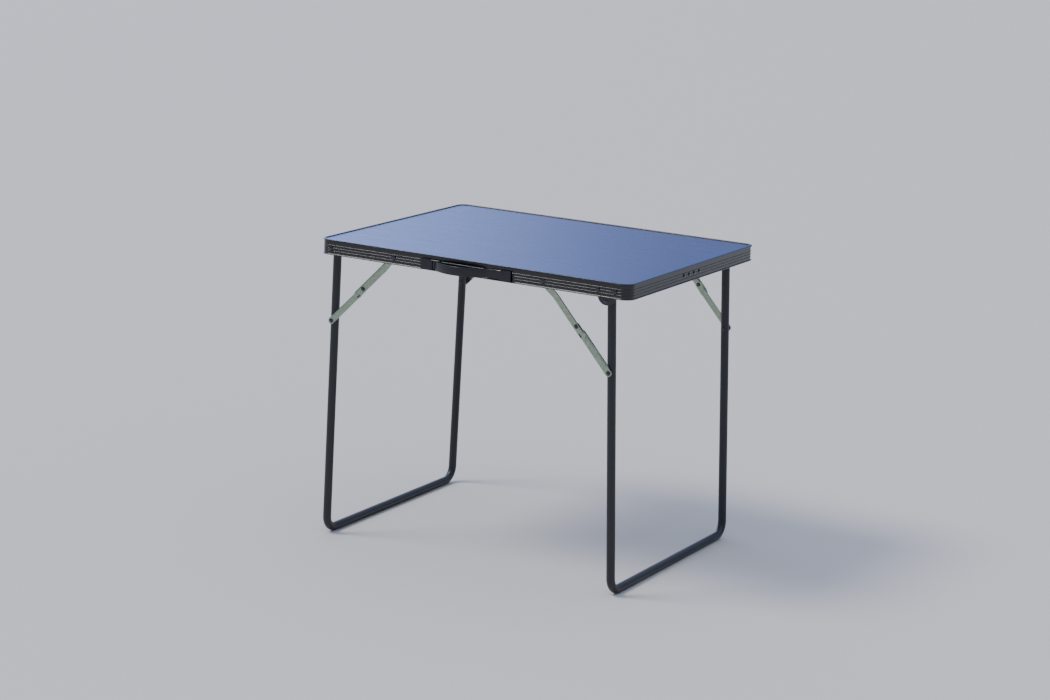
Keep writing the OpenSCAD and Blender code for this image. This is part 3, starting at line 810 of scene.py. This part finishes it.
for end, side in corners:
    name = f"{end}_{side}"
    upperBody, lowerBody = "upper_brace_" + name, "lower_brace_" + name
    node = "knee_rivet_" + name
    shank = islandLength(node) - big["high"]
    profile = [(0, -shank), (big["shank"], -shank), (big["shank"], 0)]
    setOn(node + "_head", profile + domeProfile(big["head"], big["high"], big["rim"]),
          spotsAlongY(node, big["high"]), "rivet", upperBody, node)
    node = "knee_washer_" + name
    setOn(node + "_ring", ringProfile(1 * mm, 6 * mm, -islandLength(node), 0, 0.08 * mm),
          spotsAlongY(node, 0), "washer", upperBody, node)
    node = "knee_collar_" + name
    tall = islandLength(node)
    profile = tailProfile(big["tail"], big["tailHigh"], -tall)
    profile += [(big["shank"], big["tailHigh"] - tall), (big["shank"], 0), (0, 0)]
    setOn(node + "_tail", profile, spotsAlongY(node, 0), "rivet", lowerBody, node)
print("fasteners ready")

# leg frames: a bent tube along a U, by geometry nodes
legs = {"tube": 9.5 * mm, "bend": 32 * mm, "plugTop": 7 * mm, "flange": 1.5 * mm, "plugRadius": 9.5 * mm}


def tubeTree():
    tree = bpy.data.node_groups.new("bendTube", "GeometryNodeTree")
    face = tree.interface
    face.new_socket("Geometry", in_out="INPUT", socket_type="NodeSocketGeometry")
    for label, kind, value in (("Tube Radius", "Float", 0.0095), ("Bend Radius", "Float", 0.03),
                               ("Bend Steps", "Int", 16), ("Round Steps", "Int", 40)):
        face.new_socket(label, in_out="INPUT", socket_type="NodeSocket" + kind).default_value = value
    face.new_socket("Finish", in_out="INPUT", socket_type="NodeSocketMaterial")
    face.new_socket("Geometry", in_out="OUTPUT", socket_type="NodeSocketGeometry")
    gin, gout = tree.nodes.new("NodeGroupInput"), tree.nodes.new("NodeGroupOutput")
    line = addNode(tree, "GeometryNodeMeshToCurve", {"Mesh": gin.outputs["Geometry"]})
    bent = tree.nodes.new("GeometryNodeFilletCurve")
    if hasattr(bent, "mode"):
        bent.mode = "POLY"
    tree.links.new(line.outputs[0], bent.inputs["Curve"])
    tree.links.new(gin.outputs["Bend Steps"], bent.inputs["Count"])
    tree.links.new(gin.outputs["Bend Radius"], bent.inputs["Radius"])
    ring = addNode(tree, "GeometryNodeCurvePrimitiveCircle",
                   {"Resolution": gin.outputs["Round Steps"], "Radius": gin.outputs["Tube Radius"]})
    skin = addNode(tree, "GeometryNodeCurveToMesh", {"Curve": bent.outputs[0],
                   "Profile Curve": ring.outputs[0], "Fill Caps": True})
    real = addNode(tree, "GeometryNodeRealizeInstances", {0: skin.outputs[0]})
    coated = addNode(tree, "GeometryNodeSetMaterial", {"Geometry": real.outputs[0],
                     "Material": gin.outputs["Finish"]})
    tree.links.new(coated.outputs[0], gout.inputs[0])
    return tree


bendTube = tubeTree()


def makeLegs(side):
    pivot = Vector(joints[side + "_legs_fold"]["pos_m"])
    foot = Vector(joints[f"lower_brace_front_{side}_turn"]["pos_m"])
    down = Vector((foot.x - pivot.x, 0, foot.z - pivot.z)).normalized()
    lo, hi = nodeBox(side + "_leg_frame")
    ends = (lo.y + legs["tube"], hi.y - legs["tube"])
    top = Vector((pivot.x, 0, pivot.z)) - down * (legs["plugTop"] - legs["flange"])
    ground = Vector((pivot.x, 0, pivot.z)) + down * ((pivot.z - legs["tube"]) / -down.z)
    line = [Vector((top.x, ends[0], top.z)), Vector((ground.x, ends[0], ground.z)),
            Vector((ground.x, ends[1], ground.z)), Vector((top.x, ends[1], top.z))]
    mesh = bpy.data.meshes.new(side + "LegLine")
    mesh.from_pydata(line, [(0, 1), (1, 2), (2, 3)], [])
    tube = setPiece(side + "LegTube", mesh)
    runNodes(tube, bendTube, {"Tube Radius": legs["tube"], "Bend Radius": legs["bend"], "Bend Steps": 18,
                              "Round Steps": 48, "Finish": finish["leg"]})
    shade(tube, 50)
    attach(tube, side + "_legs", "leg", side + "_leg_frame")
    r, f = legs["plugRadius"], legs["flange"]
    profile = [(0, -1.6 * mm), (r - 1.4 * mm, -1.6 * mm), (r - 1.4 * mm, 0), (r, 0), (r, f * 0.45),
               (r - 0.25 * mm, f * 0.8), (r - 0.8 * mm, f), (r * 0.45, f), (r * 0.4, f - 0.35 * mm),
               (0, f - 0.35 * mm)]
    setOn(side + "Plugs", profile, [(p, -down) for p in (line[0], line[3])], "plug", side + "_legs",
          side + "_tube_plugs", 48)


for side in ("left", "right"):
    makeLegs(side)
print("legs ready")

# brace links: folded sheet strips
link = {
    "width": 15.5 * mm, "sheet": 1.5 * mm, "flange": 4 * mm, "bend": 0.9 * mm, "tail": 32 * mm,
    "crankFrom": 12 * mm, "crankTo": 45 * mm, "tabFrom": 16 * mm, "tabLong": 10 * mm,
    "notch": 0.9 * mm, "play": 4 * mm, "slide": 0.1 * mm, "edge": 0.25 * mm, "step": 3 * mm,
    "foldFrom": 11 * mm, "foldClimb": 7 * mm, "foldEnd": 6 * mm, "lowFoldFrom": 13 * mm,
    "dimple": 2.2 * mm, "clear": 0.2 * mm,
}


def smoothStep(x):
    x = min(1, max(0, x))
    return x * x * (3 - 2 * x)


def braceFrame(end, side):
    # anchor, foot and the matrix that puts x along the brace, y outward and z away from the hinge
    anchor = Vector(joints[f"upper_brace_{end}_{side}_turn"]["pos_m"])
    foot = Vector(joints[f"lower_brace_{end}_{side}_turn"]["pos_m"])
    pivot = Vector(joints[side + "_legs_fold"]["pos_m"])
    anchor.y = foot.y = pivot.y = midY
    along = (foot - anchor).normalized()
    out = Vector((0, 1 if end == "back" else -1, 0))
    away = along.cross(out)
    if away.dot((anchor + foot) / 2 - pivot) < 0:
        away = -away
    turn = Matrix((along, out, away)).transposed().to_4x4()
    return Matrix.Translation(anchor) @ turn, (foot - anchor).length / 2


def foldedSheet(stations, far, near, level, fold, sign, matrix):
    # strip with its near edge folded over; far, near, level and fold are functions of x
    verts, faces = [], []
    sheet, bend = link["sheet"], link["bend"]
    for x in stations:
        zFar, zNear, y, deep = far(x), near(x), level(x), fold(x)
        r = min(bend + sheet / 2, max(deep - sheet / 2, 0) * 0.8)
        spine = [(zFar, y, 0.0), ((zFar + zNear) / 2, y, 0.0)]
        if deep > sheet:
            start = zNear + sheet / 2 + r
            turns = [i * pi / 8 for i in range(5)]
            spine += [(start - r * sin(a), y + sign * (r - r * cos(a)), a) for a in turns]
            spine += [(zNear + sheet / 2, y + sign * (deep - sheet / 2), pi / 2)]
        else:
            spine += [(zNear + (5 - i) * 1e-5, y, 0.0) for i in range(6)]
        count = len(spine)
        for face in (1, -1):
            verts += [(x, yy + sign * face * sheet / 2 * cos(a), z + face * sheet / 2 * sin(a))
                      for z, yy, a in spine]
    n = 2 * count
    for i in range(len(stations) - 1):
        a, b = i * n, (i + 1) * n
        for k in range(count - 1):
            faces.append((a + k, b + k, b + k + 1, a + k + 1))
            faces.append((a + count + k, a + count + k + 1, b + count + k + 1, b + count + k))
        faces.append((a, a + count, b + count, b))
        faces.append((a + count - 1, b + count - 1, b + 2 * count - 1, a + 2 * count - 1))
    for a in (0, (len(stations) - 1) * n):
        for k in range(count - 1):
            faces.append((a + k, a + k + 1, a + count + k + 1, a + count + k))
    return [matrix @ Vector(v) for v in verts], faces, [(v[0], v[2]) for v in verts]


def endStations(x0, x1, radius, extra):
    # closer together round the strip's ends
    stops = {x0 - radius + radius * (1 - cos(a * pi / 16)) for a in range(1, 9)}
    stops |= {x1 + radius * sin(a * pi / 16) for a in range(0, 8)}
    stops |= set(extra) | {x0, x1}
    return sorted(stops)


def halfWidth(x, x0, x1, radius):
    if x < x0:
        return sqrt(max(radius ** 2 - (x0 - x) ** 2, (0.3 * mm) ** 2))
    if x > x1:
        return sqrt(max(radius ** 2 - (x - x1) ** 2, (0.3 * mm) ** 2))
    return radius


def joinParts(name, parts, material):
    verts, faces, coords = [], [], []
    for partVerts, partFaces, partCoords in parts:
        start = len(verts)
        verts += partVerts
        coords += partCoords
        faces += [tuple(i + start for i in face) for face in partFaces]
    mesh = bpy.data.meshes.new(name)
    mesh.from_pydata([tuple(v) for v in verts], [], faces)
    layer = mesh.uv_layers.new(name="linkRun")
    for loop in mesh.loops:
        layer.data[loop.index].uv = coords[loop.vertex_index]
    cleanMesh(mesh)
    piece = setPiece(name, mesh, material, 35)
    soften(piece, link["edge"], 2, 45)
    return piece


def makeLinks(end, side):
    name = f"{end}_{side}"
    place, span = braceFrame(end, side)
    radius = link["width"] / 2
    t = link["sheet"]
    upLo, upHi = nodeBox("upper_link_" + name)
    lowLo, lowHi = nodeBox("lower_link_" + name)
    washLo, washHi = nodeBox("knee_washer_" + name)
    outermost = max(abs(upLo.y - midY), abs(upHi.y - midY))
    seat = max(abs(washLo.y - midY), abs(washHi.y - midY)) + t / 2    # middle of the upper web
    under = max(abs(lowLo.y - midY), abs(lowHi.y - midY)) - t / 2     # middle of the lower web
    anchorY = outermost - t / 2
    last = span + link["tail"] - radius

    def level(x):
        along = (x - link["crankFrom"]) / (link["crankTo"] - link["crankFrom"])
        return anchorY + (seat - anchorY) * smoothStep(along)

    def upperFold(x):
        ramp = min(smoothStep((x - link["foldFrom"]) / link["foldClimb"]),
                   smoothStep((last - x) / link["foldEnd"]))
        return min(link["flange"] * ramp + t, outermost - level(x) + t / 2)

    step = link["step"]
    stations = endStations(0, last, radius, [i * step for i in range(2, int(last / step))])
    upper = foldedSheet(stations, lambda x: halfWidth(x, 0, last, radius),
                        lambda x: -halfWidth(x, 0, last, radius), level, upperFold, 1, place)
    tabX = span + link["tabFrom"]
    mirrored = place @ Matrix.Diagonal((1, 1, -1, 1))
    reach = seat - under + t + link["clear"]
    tab = foldedSheet([tabX, tabX + link["tabLong"] * 0.5, tabX + link["tabLong"]],
                      lambda x: -radius + 4 * mm,
                      lambda x: -(radius - link["notch"] + link["slide"] + t),
                      lambda x: seat, lambda x: reach, -1, mirrored)
    d = link["dimple"]
    crown = [(0, 0), (d, 0), (d - 0.3 * mm, 0.45 * mm), (d - mm, 0.8 * mm), (0, 0.95 * mm)]
    dimple, rings = lathe(crown, 24)
    spot = place @ Matrix.Translation((last - 2 * mm, seat + t / 2 - 0.1 * mm, 0))
    spot = spot @ Matrix.Rotation(-pi / 2, 4, "X")
    bead = ([spot @ Vector(v) for v in dimple], rings, [(v[0], v[1]) for v in dimple])
    piece = joinParts("upperLink_" + name, [upper, tab, bead], finish["brace"])
    attach(piece, "upper_brace_" + name, "brace", "upper_link_" + name)

    notchFrom = tabX - link["slide"] - link["clear"]
    notchTo = notchFrom + link["tabLong"] + link["play"]

    def farEdge(x):
        inNotch = notchFrom < x < notchTo
        return halfWidth(x, span, 2 * span, radius) - (link["notch"] if inNotch else 0)

    def lowerFold(x):
        inset = min(x - span, 2 * span - x) - link["lowFoldFrom"]
        return link["flange"] * smoothStep(inset / link["foldEnd"]) + t

    extra = [span + i * step for i in range(4, int(span / step) - 3)]
    tiny = 0.02 * mm
    extra += [notchFrom - tiny, notchFrom + tiny, notchTo - tiny, notchTo + tiny]
    stations = endStations(span, 2 * span, radius, extra)
    lower = foldedSheet(stations, farEdge, lambda x: -halfWidth(x, span, 2 * span, radius),
                        lambda x: under, lowerFold, -1, place)
    piece = joinParts("lowerLink_" + name, [lower], finish["brace"])
    attach(piece, "lower_brace_" + name, "brace", "lower_link_" + name)


for end, side in corners:
    makeLinks(end, side)
print("braces ready")

# drop brackets
bracket = {"corner": 3 * mm, "lobe": 21 * mm, "low": 34 * mm, "edge": 0.4 * mm}


def makeBracket(node):
    lo, hi = nodeBox(node)
    midX = (lo.x + hi.x) / 2
    centreZ = lo.z + bracket["lobe"]
    lowZ = rimZ - bracket["low"]
    side = (hi.x - lo.x) / 2
    c = bracket["corner"]
    drop = centreZ - lowZ
    wide = sqrt(bracket["lobe"] ** 2 - drop ** 2)
    start = atan2(-drop, wide) * 180 / pi
    outline = arc(side - c, hi.z - c, c, 0, 90, 5) + arc(-side + c, hi.z - c, c, 90, 180, 5)
    outline += arc(-side + c, lowZ + c, c, 180, 270, 5)
    outline += arc(0, centreZ, bracket["lobe"], -180 - start, start, 28)
    outline += arc(side - c, lowZ + c, c, 270, 360, 5)
    n = len(outline)
    verts = [(midX + x, y, z) for y in (lo.y, hi.y) for x, z in outline]
    faces = [tuple(range(n)), tuple(range(2 * n - 1, n - 1, -1))]
    faces += [(i, (i + 1) % n, n + (i + 1) % n, n + i) for i in range(n)]
    piece = newPiece(node + "_plate", verts, faces, finish["bracket"], 40)
    soften(piece, bracket["edge"], 2, 50)
    attach(piece, "tabletop", "bracket", node)


for node in ("drop_bracket_front", "drop_bracket_rear"):
    makeBracket(node)
print("brackets ready")

# carrying handle
handle = {
    "thick": 3.2 * mm, "thin": 3.0 * mm, "soft": 1.1 * mm, "slide": 14 * mm, "bow": 138 * mm,
    "root": 10 * mm, "rootTurn": 55, "shoulder": 22 * mm, "mouth": 20 * mm, "neck": 7 * mm,
    "neckHigh": 0.6, "stop": 7 * mm, "stopHigh": 0.8, "plateEdge": 0.3 * mm,
    "rootSteps": 10, "shoulderSteps": 8, "bowSteps": 24,
}


def makePlate(node):
    # the carried-over solid, merged and with its edges softened
    mesh = frame["nodes"][node].data.copy()
    mesh.name = node + "_shell"
    bm = bmesh.new()
    bm.from_mesh(mesh)
    bmesh.ops.remove_doubles(bm, verts=bm.verts, dist=1e-6)
    bmesh.ops.dissolve_limit(bm, angle_limit=radians(1), verts=bm.verts, edges=bm.edges)
    bm.to_mesh(mesh)
    bm.free()
    piece = setPiece(node + "_shell", mesh, finish["handle"], 30)
    soften(piece, handle["plateEdge"], 3, 25)
    attach(piece, "tabletop", "handle", node)


def strapSection(thick, high, soft, steps=5):
    points = []
    for cx, cy, a in ((1, 1, 0), (-1, 1, 90), (-1, -1, 180), (1, -1, 270)):
        points += arc(cx * (thick / 2 - soft), cy * (high / 2 - soft), soft, a, a + 90, steps)
    return points


def strapEnd(h, base, rise, mouthEnd):
    # stations (x, y, turn, height, thickness) from the stop in a plate to the bow, on the right
    half = h["bow"] / 2
    tight = radians(h["rootTurn"])
    bends = (h["root"] + h["shoulder"]) * sin(tight)
    climb = rise - (h["root"] + h["shoulder"]) * (1 - cos(tight))
    bowTurn = 2 * atan2(climb, half - bends)
    thin = h["thin"] / h["thick"]
    step = 0.05 * mm
    neckEnd = mouthEnd + h["neck"]
    flat = [(neckEnd + h["stop"], h["stopHigh"]), (neckEnd, h["stopHigh"]),
            (neckEnd - step, h["neckHigh"]),
            (mouthEnd - mm, h["neckHigh"]), (mouthEnd - mm - step, 1)]
    stations = [(x, base, 0.0, high, thin) for x, high in flat]
    if mouthEnd - half > 5 * mm:
        stations.append((half + 2 * mm, base, 0.0, 1, thin))
    for i in range(h["rootSteps"]):
        b = tight * i / h["rootSteps"]
        stations.append((half - h["root"] * sin(b), base + h["root"] * (1 - cos(b)), b, 1, 1))
    for i in range(h["shoulderSteps"]):
        b = tight + (bowTurn - tight) * i / h["shoulderSteps"]
        y = base + h["root"] - (h["root"] + h["shoulder"]) * cos(tight) + h["shoulder"] * cos(b)
        stations.append((half - bends + h["shoulder"] * sin(b), y, b, 1, 1))
    return stations, bowTurn, (half - bends) / sin(bowTurn) + h["shoulder"]


def makeStrap(h):
    lo, hi = nodeBox("handle_strap")
    leftIn, rightIn = nodeBox("handle_plate_left")[1].x, nodeBox("handle_plate_right")[0].x
    reach = (rightIn - leftIn) / 2 + h["mouth"]
    midX = (leftIn + rightIn) / 2 - h["slide"]
    midZ = (lo.z + hi.z) / 2
    base = -hi.y + h["thick"] / 2
    rise = -lo.y - h["thick"] / 2 - base
    leftEnd, bowTurn, bowRadius = strapEnd(h, base, rise, reach - h["slide"])
    rightEnd = strapEnd(h, base, rise, reach + h["slide"])[0]
    path = [(-x, y, -a, high, thick) for x, y, a, high, thick in leftEnd]
    for i in range(-h["bowSteps"], h["bowSteps"] + 1):
        a = bowTurn * i / h["bowSteps"]
        path.append((bowRadius * sin(a), base + rise - bowRadius * (1 - cos(a)), a, 1, 1))
    path += rightEnd[::-1]
    section = strapSection(h["thick"], hi.z - lo.z, h["soft"])
    n = len(section)
    verts, faces = [], []
    for x, y, a, high, thick in path:
        for u, v in section:
            verts.append((midX + x + u * thick * sin(a), -(y + u * thick * cos(a)), midZ + v * high))
    for i in range(len(path) - 1):
        here, ahead = i * n, (i + 1) * n
        faces += [(here + k, ahead + k, ahead + (k + 1) % n, here + (k + 1) % n) for k in range(n)]
    last = (len(path) - 1) * n
    faces += [tuple(range(n)), tuple(range(last, last + n))]
    piece = newPiece("gripStrap", verts, faces, finish["handle"], 40)
    attach(piece, "tabletop", "handle", "handle_strap")


makePlate("handle_plate_left")
makePlate("handle_plate_right")
makeStrap(handle)
print("handle ready")
